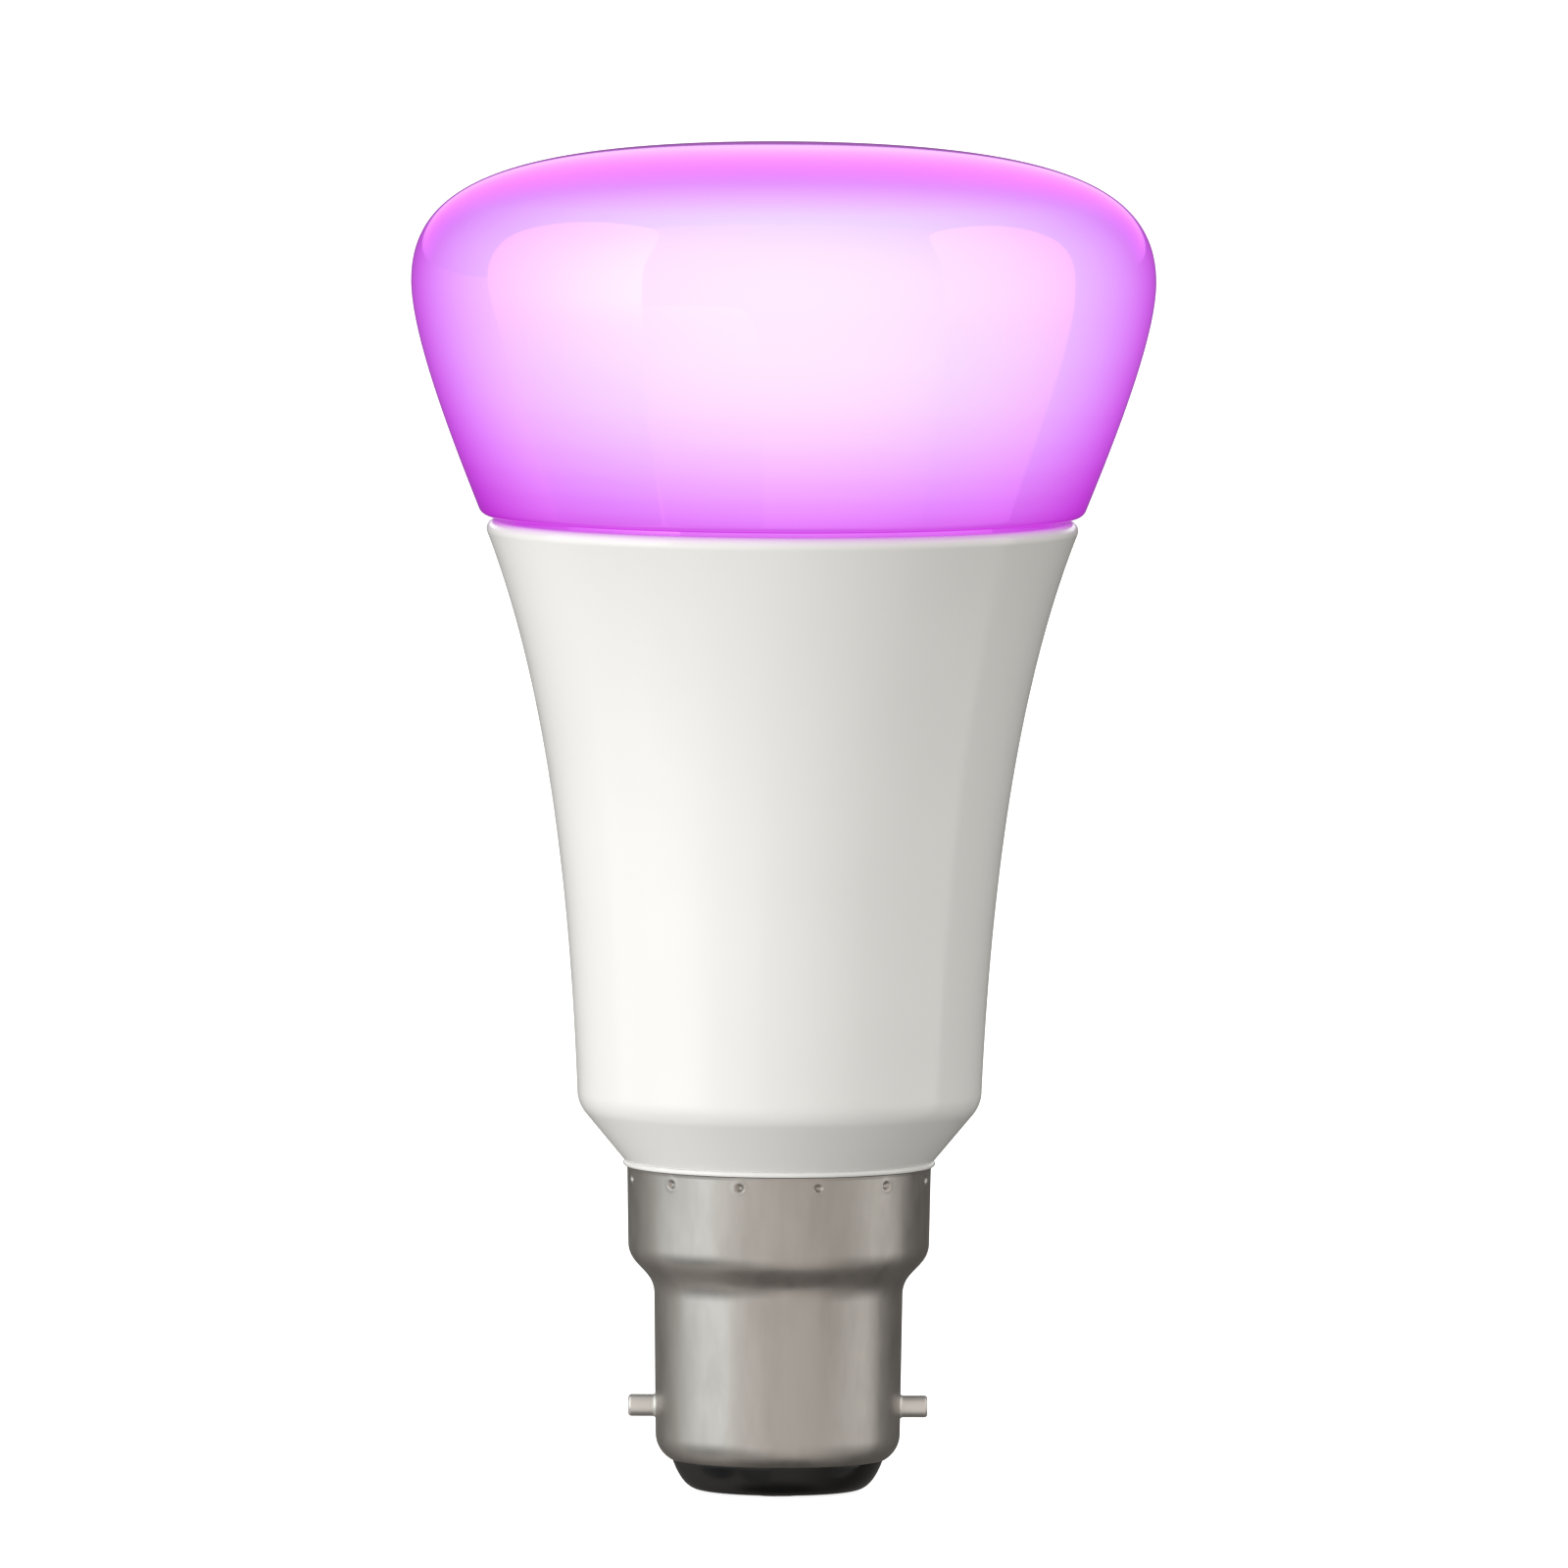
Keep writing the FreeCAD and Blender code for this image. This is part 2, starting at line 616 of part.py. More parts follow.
def main():
    pin = bayonet_pin()
    rivet = contact()
    shapes = {
        "diffuser_globe": diffuser_globe(),
        "globe_seal": globe_seal(),
        "housing_shell": housing_shell(),
        "cap_shell": cap_shell(),
        "bayonet_pin_right": pin,
        "bayonet_pin_left": spun(pin, 180),
        "cap_insulator": cap_insulator(),
        "contact_live": rivet,
        "contact_neutral": spun(rivet, 180),
        "contact_solder": contact_solder(),
        "lead_wire_live": lead_wire(1, DRIVER_BACK + 0.52),
        "lead_wire_neutral": lead_wire(-1, DRIVER_FRONT - 0.52),
        "heat_spreader": heat_spreader(),
        "thermal_pad": thermal_pad(),
        "led_board": led_board(),
        "led_packages": led_packages(),
        "led_lenses_white": led_lenses("white"),
        "led_lenses_red": led_lenses("red"),
        "led_lenses_green": led_lenses("green"),
        "led_lenses_blue": led_lenses("blue"),
        "reflector_plate": reflector_plate(),
        "board_screws": board_screws(),
        "radio_board": radio_board(),
        "radio_shield_can": radio_shield_can(),
        "radio_chips": radio_chips(),
        "radio_antenna": radio_antenna(),
        "radio_shroud": radio_shroud(),
        "board_link_header": board_link_header(),
        "board_link_pins": board_link_pins(),
        "driver_sleeve": driver_sleeve(),
        "driver_board": driver_board(),
        "led_header": led_header(),
        "led_header_pins": led_header_pins(),
        "led_socket": led_socket(),
        "bulk_capacitor": bulk_capacitor(),
        "transformer_core": transformer_core(),
        "transformer_bobbin": transformer_bobbin(),
        "transformer_winding": transformer_winding(),
        "inductor_core": inductor_core(),
        "inductor_winding": inductor_winding(),
        "film_capacitor": film_capacitor(),
        "varistor": varistor(),
        "fuse_resistor": fuse_resistor(),
        "bridge_rectifier": bridge_rectifier(),
        "controller_chips": controller_chips(),
        "output_capacitors": output_capacitors(),
        "smd_parts": smd_parts(),
    }
    os.makedirs("parts", exist_ok=True)
    for node, shape in shapes.items():
        shape.exportStep("parts/" + node + ".step")


main()
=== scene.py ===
import json
import math

import bpy
import numpy as np
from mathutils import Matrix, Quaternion, Vector


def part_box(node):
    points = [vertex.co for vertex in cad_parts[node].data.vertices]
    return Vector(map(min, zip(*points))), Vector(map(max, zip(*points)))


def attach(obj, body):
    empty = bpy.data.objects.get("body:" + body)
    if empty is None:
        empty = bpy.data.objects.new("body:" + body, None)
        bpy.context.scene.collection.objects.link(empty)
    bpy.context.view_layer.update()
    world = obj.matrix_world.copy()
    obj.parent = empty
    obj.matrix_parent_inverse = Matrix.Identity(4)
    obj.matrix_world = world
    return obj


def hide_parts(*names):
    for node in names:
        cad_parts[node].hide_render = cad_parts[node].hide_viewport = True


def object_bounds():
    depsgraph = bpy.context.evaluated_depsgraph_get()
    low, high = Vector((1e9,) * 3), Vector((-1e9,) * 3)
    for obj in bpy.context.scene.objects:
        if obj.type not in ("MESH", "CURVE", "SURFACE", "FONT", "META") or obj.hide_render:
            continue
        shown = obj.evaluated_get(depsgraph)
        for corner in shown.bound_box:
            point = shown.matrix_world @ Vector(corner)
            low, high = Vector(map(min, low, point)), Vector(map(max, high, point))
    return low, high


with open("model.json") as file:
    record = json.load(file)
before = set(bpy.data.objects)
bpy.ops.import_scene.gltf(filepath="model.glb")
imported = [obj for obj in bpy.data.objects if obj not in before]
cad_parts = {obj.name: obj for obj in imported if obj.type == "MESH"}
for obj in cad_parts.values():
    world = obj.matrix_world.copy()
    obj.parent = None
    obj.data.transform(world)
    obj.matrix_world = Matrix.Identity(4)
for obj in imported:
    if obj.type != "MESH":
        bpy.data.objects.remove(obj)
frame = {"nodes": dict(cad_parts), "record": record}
cad_low, cad_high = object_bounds()
MM = 0.001


# ---- profiles: (r, z) in mm from the contact plane, the same curves as the CAD's


def curve(p0, p1, p2, p3, steps):
    """Points of a cubic curve after its first one."""
    t = np.linspace(0, 1, steps + 1)[1:, None]
    p0, p1, p2, p3 = (np.array(p, float) for p in (p0, p1, p2, p3))
    bent = (1 - t) ** 3 * p0 + 3 * (1 - t) ** 2 * t * p1 + 3 * (1 - t) * t * t * p2 + t**3 * p3
    return [tuple(p) for p in bent]


def straight(p0, p1, steps):
    """Points of a line after its first one."""
    return [tuple(np.array(p0) + (np.array(p1) - np.array(p0)) * i / steps) for i in range(1, steps + 1)]


def arc(p0, through, p1, steps):
    """Points of a circular arc after its first one."""
    (ax, ay), (bx, by), (cx, cy) = p0, through, p1
    d = 2 * (ax * (by - cy) + bx * (cy - ay) + cx * (ay - by))
    a2, b2, c2 = ax * ax + ay * ay, bx * bx + by * by, cx * cx + cy * cy
    ux = (a2 * (by - cy) + b2 * (cy - ay) + c2 * (ay - by)) / d
    uy = (a2 * (cx - bx) + b2 * (ax - cx) + c2 * (bx - ax)) / d
    start, mid, end = (math.atan2(y - uy, x - ux) for x, y in (p0, through, p1))
    turn = (end - start) % math.tau
    if (mid - start) % math.tau > turn:
        turn -= math.tau
    radius = math.hypot(ax - ux, ay - uy)
    angles = [start + turn * i / steps for i in range(1, steps + 1)]
    return [(ux + radius * math.cos(a), uy + radius * math.sin(a)) for a in angles]


def soften(points, corner, radius, steps=6):
    """Rounds the profile's corner nearest to a point, by walking back and forward along it."""
    pts = [np.array(p, float) for p in points]
    at = min(range(len(pts)), key=lambda i: np.linalg.norm(pts[i] - corner))

    def walk(step, length):
        i = at
        here = pts[at]
        while True:
            there = pts[i + step]
            gap = np.linalg.norm(there - here)
            if gap >= length:
                return i + step, here + (there - here) * length / gap
            length -= gap
            i += step
            here = there

    before = pts[at - 1] - pts[at]
    after = pts[at + 1] - pts[at]
    cosine = before @ after / (np.linalg.norm(before) * np.linalg.norm(after))
    reach = radius / math.tan(math.acos(np.clip(cosine, -1, 1)) / 2)
    i0, start = walk(-1, reach)
    i1, end = walk(1, reach)
    d0 = (pts[at] - start) / reach
    chord = end - start
    middle = start + radius * np.array([-d0[1], d0[0]]) * np.sign(d0[0] * chord[1] - d0[1] * chord[0])
    toward = pts[at] - middle
    through = middle + toward / np.linalg.norm(toward) * radius
    bend = arc(tuple(start), tuple(through), tuple(end), steps)
    return [tuple(p) for p in pts[: i0 + 1]] + [tuple(start)] + bend + [tuple(p) for p in pts[i1:]]


# ---- meshes


def turned(name, profile, around=256, closed=True, shift=None, sharp=35):
    """Mesh of revolution about Z. shift(r, z, angle) may move a vertex in or out, in mm."""
    rows = []
    verts = []
    for r, z in profile:
        if r < 1e-6:
            rows.append([len(verts)])
            verts.append((0, 0, z * MM))
            continue
        rows.append(list(range(len(verts), len(verts) + around)))
        for i in range(around):
            angle = math.tau * i / around
            rr = r + (shift(r, z, angle) if shift else 0.0)
            verts.append((rr * math.cos(angle) * MM, rr * math.sin(angle) * MM, z * MM))
    faces = []
    pairs = list(zip(rows, rows[1:]))
    if closed:
        pairs.append((rows[-1], rows[0]))
    for a, b in pairs:
        if len(a) == 1 and len(b) == 1:
            continue
        for i in range(around):
            j = (i + 1) % around
            if len(a) == 1:
                faces.append((a[0], b[j], b[i]))
            elif len(b) == 1:
                faces.append((a[i], a[j], b[0]))
            else:
                faces.append((a[i], a[j], b[j], b[i]))
    mesh = bpy.data.meshes.new(name)
    mesh.from_pydata(verts, [], faces)
    mesh.validate()
    mesh.shade_smooth()
    mesh.set_sharp_from_angle(angle=math.radians(sharp))
    obj = bpy.data.objects.new(name, mesh)
    bpy.context.scene.collection.objects.link(obj)
    fix_normals(obj)
    return obj


def fix_normals(obj):
    """Turns the faces outward if the closed mesh came out inside out."""
    mesh = obj.data
    volume = 0.0
    for poly in mesh.polygons:
        points = [mesh.vertices[i].co for i in poly.vertices]
        for b, c in zip(points[1:], points[2:]):
            volume += points[0].dot(b.cross(c))
    if volume < 0:
        mesh.flip_normals()


def stand_for(obj, material, slot, *nodes):
    obj.data.materials.append(material)
    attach(obj, "root")
    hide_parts(*nodes)
    return obj


# ---- materials


def shader(name):
    mat = bpy.data.materials.new(name)
    mat.use_nodes = True
    return mat, mat.node_tree, mat.node_tree.nodes["Principled BSDF"]


def noise(tree, scale, detail=3.0, rough=0.5, stretch=(1, 1, 1)):
    """Noise over the object's own space, in metres times scale."""
    where = tree.nodes.new("ShaderNodeTexCoord")
    mapping = tree.nodes.new("ShaderNodeMapping")
    mapping.inputs["Scale"].default_value = stretch
    tex = tree.nodes.new("ShaderNodeTexNoise")
    tex.inputs["Scale"].default_value = scale
    tex.inputs["Detail"].default_value = detail
    tex.inputs["Roughness"].default_value = rough
    tree.links.new(where.outputs["Object"], mapping.inputs["Vector"])
    tree.links.new(mapping.outputs["Vector"], tex.inputs["Vector"])
    return tex.outputs["Fac"]


def spread(tree, value, low, high, from_low=0.3, from_high=0.7):
    node = tree.nodes.new("ShaderNodeMapRange")
    node.inputs["From Min"].default_value = from_low
    node.inputs["From Max"].default_value = from_high
    node.inputs["To Min"].default_value = low
    node.inputs["To Max"].default_value = high
    tree.links.new(value, node.inputs["Value"])
    return node.outputs["Result"]


def ramp(tree, value, stops, ease="EASE"):
    node = tree.nodes.new("ShaderNodeValToRGB")
    band = node.color_ramp
    band.interpolation = ease
    while len(band.elements) < len(stops):
        band.elements.new(0.5)
    for element, (place, colour) in zip(band.elements, stops):
        element.position = place
        element.color = (*colour, 1)
    tree.links.new(value, node.inputs["Fac"])
    return node.outputs["Color"]


def bump(tree, bsdf, height, strength, distance):
    node = tree.nodes.new("ShaderNodeBump")
    node.inputs["Strength"].default_value = strength
    node.inputs["Distance"].default_value = distance
    tree.links.new(height, node.inputs["Height"])
    tree.links.new(node.outputs["Normal"], bsdf.inputs["Normal"])


GLOW = (  # height in mm, and the light the wall gives off there, before the coat's tint
    (87.4, (0.81, 0.37, 1.00)),
    (88.8, (0.88, 0.57, 1.12)),
    (90.5, (0.94, 0.82, 1.20)),
    (92.5, (1.00, 1.11, 1.28)),
    (95.0, (1.05, 1.44, 1.36)),
    (98.0, (1.09, 1.75, 1.40)),
    (102.0, (1.10, 1.96, 1.42)),
    (107.0, (1.10, 1.96, 1.42)),
    (112.0, (1.09, 1.98, 1.40)),
    (114.5, (1.09, 2.20, 1.42)),
    (116.5, (1.16, 2.70, 1.46)),
    (118.5, (1.19, 3.10, 1.50)),
    (120.8, (1.04, 2.50, 1.36)),
)


def glow_plastic():
    """Diffusing plastic lit from inside: the glow runs with height, and the coat's tint deepens it to lilac,
    most where the wall is seen at a slant."""
    mat, tree, bsdf = shader("globe_plastic")
    where = tree.nodes.new("ShaderNodeTexCoord")
    split = tree.nodes.new("ShaderNodeSeparateXYZ")
    tree.links.new(where.outputs["Object"], split.inputs["Vector"])
    foot, crown, most = GLOW[0][0], GLOW[-1][0], GLOW[-1][1][1]
    height = spread(tree, split.outputs["Z"], 0, 1, foot * MM, crown * MM)
    stops = [((z - foot) / (crown - foot), tuple(c / most for c in glow)) for z, glow in GLOW]
    tree.links.new(ramp(tree, height, stops, "CARDINAL"), bsdf.inputs["Emission Color"])
    bsdf.inputs["Emission Strength"].default_value = most
    bsdf.inputs["Base Color"].default_value = (0.02, 0.01, 0.02, 1)
    bsdf.inputs["Roughness"].default_value = 0.05
    bsdf.inputs["IOR"].default_value = 1.8
    bsdf.inputs["Specular IOR Level"].default_value = 1.0
    bsdf.inputs["Coat Weight"].default_value = 1.0
    bsdf.inputs["Coat IOR"].default_value = 1.04
    bsdf.inputs["Coat Roughness"].default_value = 0.05
    bsdf.inputs["Coat Tint"].default_value = (0.83, 0.40, 0.84, 1)
    bump(tree, bsdf, noise(tree, 60, 1.0), 0.05, 0.0004)
    return mat


def housing_plastic():
    mat, tree, bsdf = shader("housing_plastic")
    tint = ramp(tree, noise(tree, 35, 2.0), [(0.3, (0.84, 0.84, 0.83)), (0.7, (0.87, 0.87, 0.86))])
    tree.links.new(tint, bsdf.inputs["Base Color"])
    tree.links.new(spread(tree, noise(tree, 400, 3.0), 0.13, 0.19), bsdf.inputs["Roughness"])
    bsdf.inputs["IOR"].default_value = 1.5
    bump(tree, bsdf, noise(tree, 900, 2.0), 0.08, 0.00005)
    return mat


def cap_nickel():
    """Satin nickel over pressed sheet: fine turned lines round the axis, and broad soft smears along it."""
    mat, tree, bsdf = shader("cap_nickel")
    bsdf.inputs["Metallic"].default_value = 1.0
    smear = noise(tree, 260, 3.0, 0.6, (1, 1, 0.25))
    tint = ramp(tree, smear, [(0.3, (0.39, 0.37, 0.345)), (0.7, (0.45, 0.43, 0.405))])
    tree.links.new(tint, bsdf.inputs["Base Color"])
    tree.links.new(spread(tree, noise(tree, 700, 4.0, 0.6, (1, 1, 0.4)), 0.34, 0.44), bsdf.inputs["Roughness"])
    bump(tree, bsdf, noise(tree, 1500, 4.0, 0.6, (0.25, 0.25, 4)), 0.12, 0.00003)
    return mat


def insulator_black():
    mat, tree, bsdf = shader("insulator_black")
    tint = ramp(tree, noise(tree, 300, 3.0), [(0.3, (0.003, 0.003, 0.003)), (0.7, (0.006, 0.006, 0.006))])
    tree.links.new(tint, bsdf.inputs["Base Color"])
    tree.links.new(spread(tree, noise(tree, 500, 3.0), 0.12, 0.22), bsdf.inputs["Roughness"])
    bsdf.inputs["Specular IOR Level"].default_value = 0.3
    bump(tree, bsdf, noise(tree, 800, 2.0), 0.1, 0.00003)
    return mat


FINISHES = {
    "matte_plastic": (0.0, 0.50, 0.62, 0.10, 900),
    "gloss_plastic": (0.0, 0.14, 0.22, 0.05, 600),
    "rubber": (0.0, 0.65, 0.80, 0.15, 700),
    "ceramic": (0.0, 0.60, 0.75, 0.12, 1200),
    "painted_metal": (0.0, 0.28, 0.40, 0.06, 800),
    "aluminium": (1.0, 0.30, 0.42, 0.10, 1100),
    "brushed_steel": (1.0, 0.26, 0.38, 0.12, 1300),
    "brass": (1.0, 0.20, 0.32, 0.08, 900),
}


def inner_material(entry):
    """Finish of an inner part from the record's class and colour."""
    metallic, smooth, dull, relief, scale = FINISHES[entry["class"]]
    mat, tree, bsdf = shader(entry["slot"])
    colour = entry["base_color"][:3]
    dark = tuple(0.86 * c for c in colour)
    bsdf.inputs["Metallic"].default_value = metallic
    tint = ramp(tree, noise(tree, scale / 4, 3.0), [(0.3, dark), (0.7, colour)])
    tree.links.new(tint, bsdf.inputs["Base Color"])
    tree.links.new(spread(tree, noise(tree, scale, 3.0), smooth, dull), bsdf.inputs["Roughness"])
    bump(tree, bsdf, noise(tree, scale, 3.0), relief, 0.00005)
    return mat


# ---- the globe


def make_globe():
    top, equator, wide, wall = 120.75, 108.45, 33.3, 1.5
    foot = (26.9, 87.45)
    profile = [(0, top)]
    profile += curve(profile[0], (24.3, top), (wide, equator + 8.75), (wide, equator), 72)
    profile += curve((wide, equator), (wide, equator - 4.7), (29.9, 94.85), foot, 56)
    profile += [(24.0, foot[1]), (24.0, 82.9), (22.8, 82.9), (22.8, foot[1]), (25.5, 89.2)]
    profile += curve((25.5, 89.2), (28.5, 95.85), (wide - wall, 104.1), (wide - wall, equator), 24)
    inside = wide - wall
    profile += curve((inside, equator), (inside, equator + 8), (23.5, top - wall), (0, top - wall), 32)
    profile = soften(profile, foot, 1.0, 8)
    globe = turned("globe", profile, 256, closed=False)
    return stand_for(globe, glow_plastic(), "globe_plastic", "diffuser_globe")


# ---- the housing

RIM = (26.85, 87.05)
SHOULDER = (18.06, 34.75)


def flare(steps):
    return curve(RIM, (21.27, 73.5), (18.82, 54.7), SHOULDER, steps)


def flare_r(z):
    pts = np.array([RIM, *flare(400)])
    return float(np.interp(z, pts[::-1, 1], pts[::-1, 0]))


def inner_run(inset, high, low, steps):
    heights = np.linspace(high, low, steps)
    return [(flare_r(z) - inset, float(z)) for z in heights]


def make_housing():
    cone_foot = (13.98, 29.85)
    profile = [(24.1, RIM[1])]
    profile += straight(profile[0], RIM, 8)
    profile += flare(110)
    profile += straight(SHOULDER, cone_foot, 24)
    profile += [(13.74, 29.68)]
    profile += arc((13.74, 29.68), (13.98, 29.44), (13.74, 29.2), 10)
    profile += [(12.9, 29.2), (12.9, 23.2), (11.2, 23.2), (11.2, 30.4), (15.9, 35.6), (15.9, 37.5)]
    profile += inner_run(1.9, 37.5, 44.4, 8)
    profile += [(15.3, 44.4), (15.3, 45.9)]
    profile += inner_run(1.9, 45.9, 82.6, 30)
    profile += [(24.1, 82.6)]
    profile = soften(profile, RIM, 0.8, 10)
    profile = soften(profile, SHOULDER, 3.2, 12)
    profile = soften(profile, cone_foot, 0.08, 4)
    housing = turned("housing", profile, 256)
    return stand_for(housing, housing_plastic(), "housing_plastic", "housing_shell")


# ---- the cap

CRIMP_Z = 28.22
CRIMPS = 12


def crimp(r, z, angle):
    """Punched dents round the skirt, each with a low raised lip."""
    if abs(z - CRIMP_Z) > 0.9:
        return 0.0
    pitch = math.tau / CRIMPS
    off = angle % pitch - pitch / 2
    away = math.hypot(off * r, z - CRIMP_Z)
    t = min(max((0.44 - away) / 0.34, 0), 1)
    dent = -0.30 * t * t * (3 - 2 * t)
    lip = 0.03 * math.exp(-(((away - 0.55) / 0.14) ** 2))
    return dent + lip


def make_cap():
    top = 29.15
    profile = [(13.68, top)]
    profile += straight(profile[-1], (13.6, 28.9), 1)
    profile += straight(profile[-1], (13.57, 27.3), 26)
    profile += straight(profile[-1], (13.48, 22.3), 10)
    profile += curve((13.48, 22.3), (13.48, 20.1), (11.12, 19.95), (11.12, 17.6), 40)
    profile += straight((11.12, 17.6), (10.95, 5.2), 16)
    profile += arc((10.95, 5.2), (10.64, 3.9), (9.7, 2.9), 16)
    profile += [(9.53, 3.27)]
    profile += arc((9.53, 3.27), (10.28, 4.18), (10.55, 5.2), 8)
    profile += [(10.72, 17.75)]
    profile += curve((10.72, 17.75), (10.72, 20.15), (13.08, 20.3), (13.08, 22.45), 20)
    profile += [(13.17, 27.3)]
    profile += straight((13.17, 27.3), (13.28, top), 20)
    cap = turned("cap", profile, 576, shift=crimp)
    return stand_for(cap, cap_nickel(), "cap_nickel", "cap_shell")


def make_pin(name, node, side):
    """A side pin with a small fillet where it meets the barrel, turned about Z and then laid along X."""
    profile = [(0, 13.4), (0.72, 13.4)]
    profile += arc((0.72, 13.4), (0.92, 13.31), (1.0, 13.1), 6)
    profile += straight((1.0, 13.1), (1.0, 11.3), 4)
    profile += arc((1.0, 11.3), (1.09, 11.0), (1.35, 10.86), 6)
    profile += [(1.35, 10.6), (1.0, 10.5), (1.0, 10.38), (1.3, 10.26), (1.3, 10.1), (0, 10.1)]
    pin = turned(name, profile, 64, closed=False)
    low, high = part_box(node)
    height = (low.z + high.z) / 2
    for v in pin.data.vertices:
        x, y, z = v.co
        v.co = (side * z, y * side, height - x)
    pin.data.update()
    fix_normals(pin)
    return stand_for(pin, bpy.data.materials["cap_nickel"], "cap_nickel", node)


def make_insulator():
    flat = 0.15
    profile = [(0, flat)]
    profile += straight((0, flat), (7.1, flat), 6)
    profile += curve((7.1, flat), (8.3, 0.22), (9.0, 1.6), (9.43, 2.75), 24)
    profile += [(9.43, 3.29)]
    profile += arc((9.43, 3.29), (10.17, 4.2), (10.46, 5.2), 6)
    profile += [(10.46, 6.1), (9.9, 6.1), (9.9, 9.3), (8.9, 9.3), (8.9, 5.4), (0, 5.4)]
    insulator = turned("insulator", profile, 192, closed=False)
    return stand_for(insulator, insulator_black(), "insulator_black", "cap_insulator")


def finish_inner_parts():
    """Every CAD node that stays shown gets the procedural finish of its slot."""
    record = frame["record"]
    finishes = {entry["slot"]: entry for entry in record["materials"]}
    made = {}
    for part in record["subparts"]:
        obj = frame["nodes"][part["node"]]
        if obj.hide_render:
            continue
        name = part["material_slot"]
        if name not in made:
            made[name] = inner_material(finishes[name])
        for i in range(len(obj.material_slots)):
            obj.material_slots[i].material = made[name]


# ---- stage, light and camera


def make_floor():
    mesh = bpy.data.meshes.new("floor")
    half = 8.0
    z = cad_low.z - 0.02 * MM
    corners = [(-half, -half, z), (half, -half, z), (half, half, z), (-half, half, z)]
    mesh.from_pydata(corners, [], [(0, 1, 2, 3)])
    floor = bpy.data.objects.new("floor", mesh)
    bpy.context.scene.collection.objects.link(floor)
    mat, tree, bsdf = shader("floor_white")
    bsdf.inputs["Base Color"].default_value = (0.8, 0.8, 0.8, 1)
    bsdf.inputs["Roughness"].default_value = 1.0
    bsdf.inputs["Specular IOR Level"].default_value = 0.0
    bsdf.inputs["Emission Color"].default_value = (1, 1, 1, 1)
    bsdf.inputs["Emission Strength"].default_value = 0.88
    mesh.materials.append(mat)
    floor.visible_glossy = False
    floor.visible_diffuse = False
    floor.visible_shadow = False


def area_light(name, azimuth, distance, height, wide, tall, power, colour=(1, 1, 1)):
    """Soft light for the matt share of the surfaces. Azimuth 0 is the camera's side, positive to its right."""
    data = bpy.data.lights.new(name, "AREA")
    data.shape = "RECTANGLE"
    data.size = wide
    data.size_y = tall
    data.energy = power
    data.color = colour
    light = bpy.data.objects.new(name, data)
    a = math.radians(azimuth)
    light.location = (distance * math.sin(a), -distance * math.cos(a), height)
    toward = Vector((0, 0, 0.07)) - light.location
    light.rotation_euler = toward.to_track_quat("-Z", "Y").to_euler()
    light.visible_glossy = False
    bpy.context.scene.collection.objects.link(light)
    return light


def heading(azimuth, elevation):
    a, e = math.radians(azimuth), math.radians(elevation)
    return Vector((math.cos(e) * math.sin(a), -math.cos(e) * math.cos(a), math.sin(e)))


def glossy_only(name, verts, faces, material):
    """A studio surface that is seen in reflections and nowhere else."""
    mesh = bpy.data.meshes.new(name)
    mesh.from_pydata([tuple(v) for v in verts], [], faces)
    mesh.materials.append(material)
    obj = bpy.data.objects.new(name, mesh)
    obj.visible_camera = False
    obj.visible_diffuse = False
    obj.visible_shadow = False
    obj.visible_transmission = False
    bpy.context.scene.collection.objects.link(obj)
    return obj


def light_by_place(name, across, fade, most):
    """Emission that is the product of two smooth ramps over the surface's own Y and Z."""
    mat = bpy.data.materials.new(name)
    mat.use_nodes = True
    tree = mat.node_tree
    tree.nodes.clear()
    where = tree.nodes.new("ShaderNodeTexCoord")
    split = tree.nodes.new("ShaderNodeSeparateXYZ")
    tree.links.new(where.outputs["Object"], split.inputs["Vector"])
    parts = []
    for axis, (start, end, low, high) in (("Y", across), ("Z", fade)):
        node = tree.nodes.new("ShaderNodeMapRange")
        node.interpolation_type = "SMOOTHSTEP"
        for key, value in zip(("From Min", "From Max", "To Min", "To Max"), (start, end, low, high)):
            node.inputs[key].default_value = value
        tree.links.new(split.outputs[axis], node.inputs["Value"])
        parts.append(node.outputs["Result"])
    times = tree.nodes.new("ShaderNodeMath")
    times.operation = "MULTIPLY"
    tree.links.new(parts[0], times.inputs[0])
    tree.links.new(parts[1], times.inputs[1])
    emission = tree.nodes.new("ShaderNodeEmission")
    emission.inputs["Color"].default_value = (*most, 1)
    tree.links.new(times.outputs["Value"], emission.inputs["Strength"])
    output = tree.nodes.new("ShaderNodeOutputMaterial")
    tree.links.new(emission.outputs["Emission"], output.inputs["Surface"])
    mat.cycles.emission_sampling = "NONE"
    return mat


def window(name, outline, middle, material, reach=3.0):
    """Curved soft window over an outline of (azimuth, elevation) directions, with its corners cut round."""
    points = [heading(*p) for p in outline]
    for _ in range(3):
        cut = []
        for a, b in zip(points, points[1:] + points[:1]):
            cut += [(a * 0.75 + b * 0.25).normalized(), (a * 0.25 + b * 0.75).normalized()]
        points = cut
    centre = heading(*middle)
    rings = 12
    verts = [centre * reach]
    faces = []
    n = len(points)
    for k in range(1, rings + 1):
        verts += [centre.slerp(p, k / rings) * reach for p in points]
    for i in range(n):
        j = (i + 1) % n
        faces.append((0, 1 + i, 1 + j))
        for k in range(rings - 1):
            a, b = 1 + k * n, 1 + (k + 1) * n
            faces.append((a + i, b + i, b + j, a + j))
    glossy_only(name, verts, faces, material)


def dome(name, material, radius=5.0, rows=24, around=48):
    verts = []
    faces = []
    for k in range(rows + 1):
        for i in range(around):
            verts.append(heading(360 * i / around, -89 + 178 * k / rows) * radius)
    for k in range(rows):
        for i in range(around):
            j = (i + 1) % around
            faces.append((k * around + i, k * around + j, (k + 1) * around + j, (k + 1) * around + i))
    return glossy_only(name, verts, faces, material)


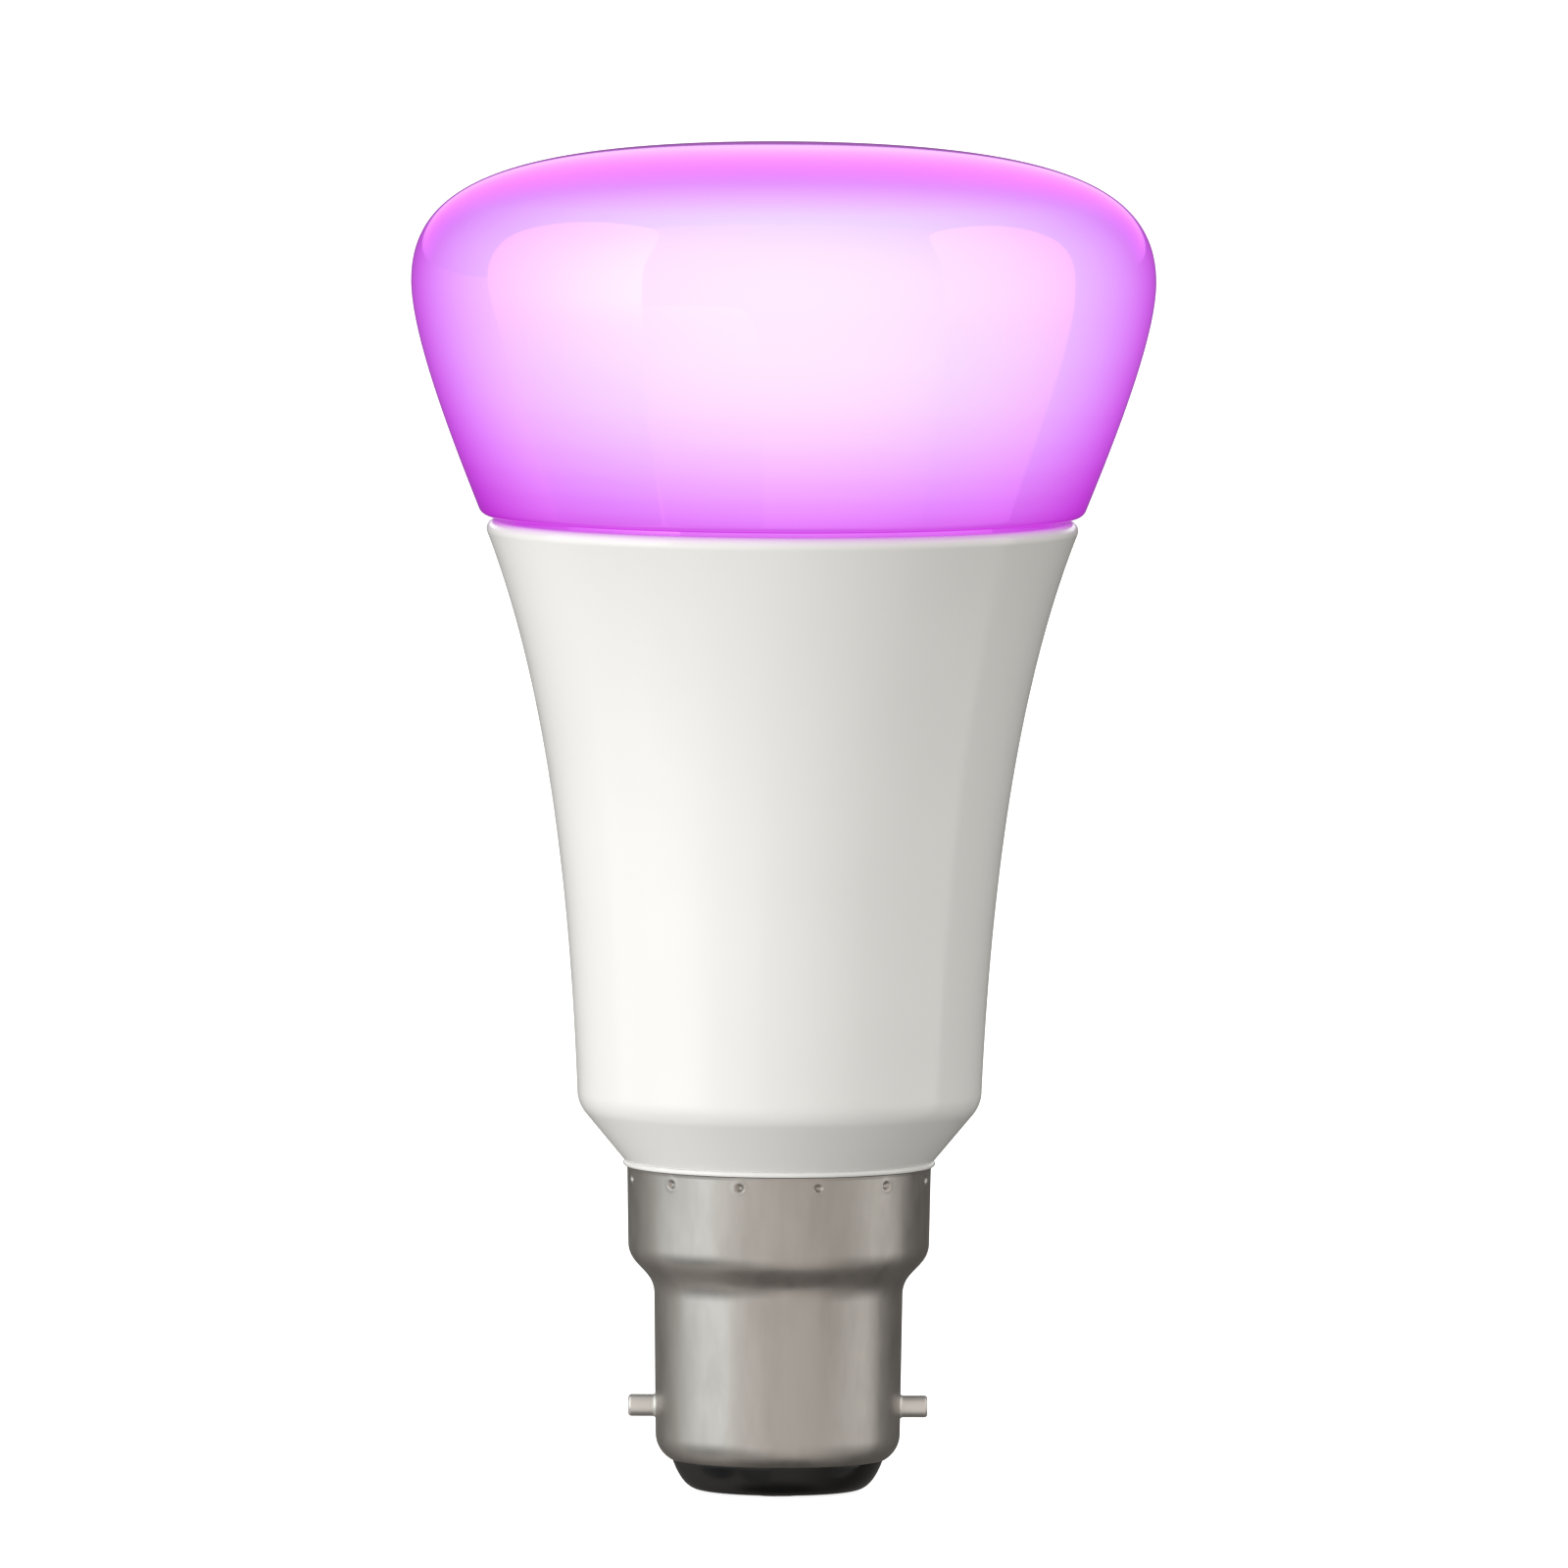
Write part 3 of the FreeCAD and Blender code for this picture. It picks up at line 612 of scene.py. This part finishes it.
WINDOW_LEFT = (
    (-44, -2), (-46, -21), (-51, -36), (-62, -48), (-90, -48), (-106, -38), (-105, -26), (-103, -14),
    (-103, 0), (-108, 22), (-120, 42), (-122, 56), (-100, 66), (-75, 66), (-52, 50), (-45, 20),
)
WINDOW_RIGHT = (
    (50, -3), (53, -16), (57, -30), (68, -45), (92, -45), (107, -36), (106, -22), (103, -12),
    (101, 3), (106, 22), (118, 42), (120, 54), (100, 62), (80, 62), (60, 48), (52, 22),
)
CARD_LOW = ((-8, -66), (-8, -10), (-20, -6), (-40, -6), (-52, -10), (-56, -66))
PANEL_BACK = ((92, 5), (136, 5), (180, 5), (224, 5), (268, 5), (268, 50), (268, 85), (92, 85), (92, 50))


def make_light():
    area_light("key_left", -57, 1.2, -0.1, 0.9, 1.1, 8.9)
    area_light("front_fill", 25, 1.6, 0.30, 1.2, 1.0, 2.1, (1.0, 0.98, 0.95))
    walls = light_by_place("studio_walls", (-3.6, 3.4, 0.86, 0.13), (-4.95, -4.2, 0.2, 1.0), (1, 0.94, 0.89))
    dome("studio_walls", walls).rotation_euler.z = math.radians(-28)
    glow = light_by_place("window_left", (-2.3, 0.0, 2.4, 1.5), (-1.9, 0.1, 0.2, 1.0), (0.95, 0.99, 1))
    window("window_left", WINDOW_LEFT, (-85, 40), glow)
    glow = light_by_place("window_right", (-1.9, 0.3, 0.9, 1.4), (-1.9, 0.1, 0.35, 1.0), (1, 0.98, 0.95))
    window("window_right", WINDOW_RIGHT, (85, 36), glow)
    glow = light_by_place("card_low", (-2.9, -1.0, 1.35, 0.9), (-2.7, -0.2, 0.5, 1.0), (1, 0.98, 0.96))
    window("card_low", CARD_LOW, (-32, -34), glow)
    glow = light_by_place("panel_back", (3.0, 3.9, 0.13, 1.5), (0.1, 0.6, 0.2, 1.0), (0.94, 1, 1))
    window("panel_back", PANEL_BACK, (180, 50), glow, 4.0)
    make_world()


def make_world():
    """White for the camera, and elsewhere a soft ambient that dims toward the floor."""
    world = bpy.data.worlds.new("studio")
    world.use_nodes = True
    tree = world.node_tree
    back = tree.nodes["Background"]
    path = tree.nodes.new("ShaderNodeLightPath")
    where = tree.nodes.new("ShaderNodeTexCoord")
    split = tree.nodes.new("ShaderNodeSeparateXYZ")
    tree.links.new(where.outputs["Generated"], split.inputs["Vector"])
    stops = [(0.27, (0.18, 0.175, 0.16)), (0.44, (0.83, 0.815, 0.78))]
    ambient = ramp(tree, spread(tree, split.outputs["Z"], 0, 1, -1, 1), stops)
    mix = tree.nodes.new("ShaderNodeMix")
    mix.data_type = "RGBA"
    mix.inputs["B"].default_value = (1, 1, 1, 1)
    tree.links.new(ambient, mix.inputs["A"])
    tree.links.new(path.outputs["Is Camera Ray"], mix.inputs["Factor"])
    tree.links.new(mix.outputs["Result"], back.inputs["Color"])
    world.cycles_visibility.glossy = False
    bpy.context.scene.world = world


ROLL = 0.3


def make_camera():
    elevation = math.radians(4.0)
    distance = 2.5
    data = bpy.data.cameras.new("camera")
    data.sensor_width = 36.0
    data.lens = 36.0 * distance / 0.14024
    camera = bpy.data.objects.new("camera", data)
    aim = Vector((0.00026, 0, cad_low.z + 0.5252 * (cad_high.z - cad_low.z)))
    camera.location = aim + distance * Vector((0, -math.cos(elevation), math.sin(elevation)))
    camera.rotation_mode = "QUATERNION"
    look = (aim - camera.location).to_track_quat("-Z", "Y")
    camera.rotation_quaternion = look @ Quaternion((0, 0, 1), math.radians(ROLL))
    data.clip_start = 0.05
    data.clip_end = 60.0
    bpy.context.scene.collection.objects.link(camera)
    bpy.context.scene.camera = camera


make_globe()
make_housing()
make_cap()
make_pin("pin_right", "bayonet_pin_right", 1)
make_pin("pin_left", "bayonet_pin_left", -1)
make_insulator()
finish_inner_parts()
make_floor()
make_light()
make_camera()
bpy.context.scene.view_settings.view_transform = "Standard"
bpy.context.scene.view_settings.look = "None"
